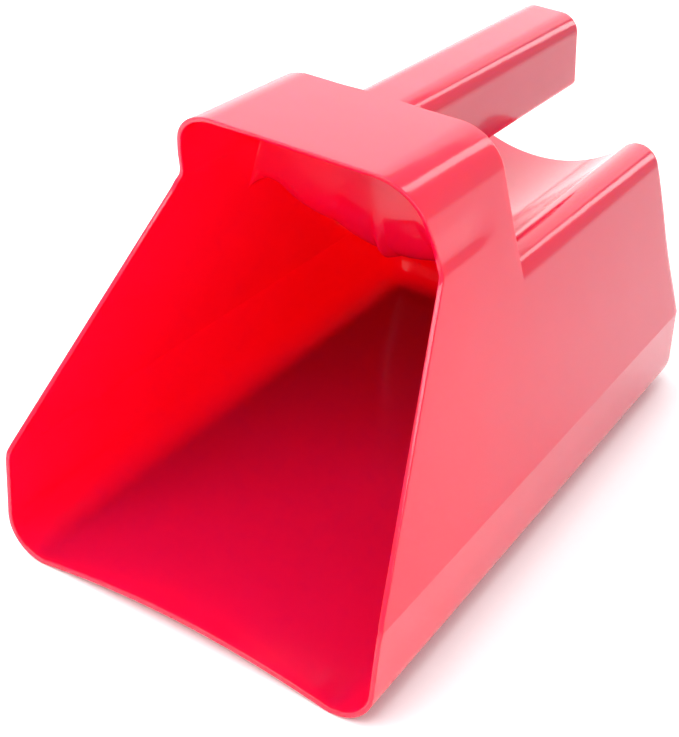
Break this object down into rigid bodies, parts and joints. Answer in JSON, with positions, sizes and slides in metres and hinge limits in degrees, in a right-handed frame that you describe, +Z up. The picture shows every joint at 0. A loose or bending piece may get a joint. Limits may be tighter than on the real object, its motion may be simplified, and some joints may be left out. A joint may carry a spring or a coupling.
{
  "type": "feed scoop",
  "caption": "Red enclosed plastic feed scoop: slanted open mouth, flared sides, hooded top, knuckle trough and a hollow straight handle.",
  "frame": {"origin": "floor level, midway across the width and midway between the lip and the furthest point of the back wall", "axes": "+Z up, the mouth faces -Y, the handle runs back along +Y, +X to the right when looking into the scoop from behind"},
  "size_m": [0.168, 0.303, 0.18],
  "materials": {
    "moulded_polyethylene": "glossy, slightly translucent red moulded polyethylene"
  },
  "bodies": {
    "root": {"floor_pan": "moulded_polyethylene", "left_lower_band": "moulded_polyethylene", "right_lower_band": "moulded_polyethylene", "left_side_panel": "moulded_polyethylene", "right_side_panel": "moulded_polyethylene", "back_wall": "moulded_polyethylene", "knuckle_trough": "moulded_polyethylene", "left_shoulder": "moulded_polyethylene", "right_shoulder": "moulded_polyethylene", "hood_roof": "moulded_polyethylene", "left_hood_cheek": "moulded_polyethylene", "right_hood_cheek": "moulded_polyethylene", "hood_back": "moulded_polyethylene", "handle_grip": "moulded_polyethylene", "handle_end": "moulded_polyethylene"}
  },
  "joints": []
}
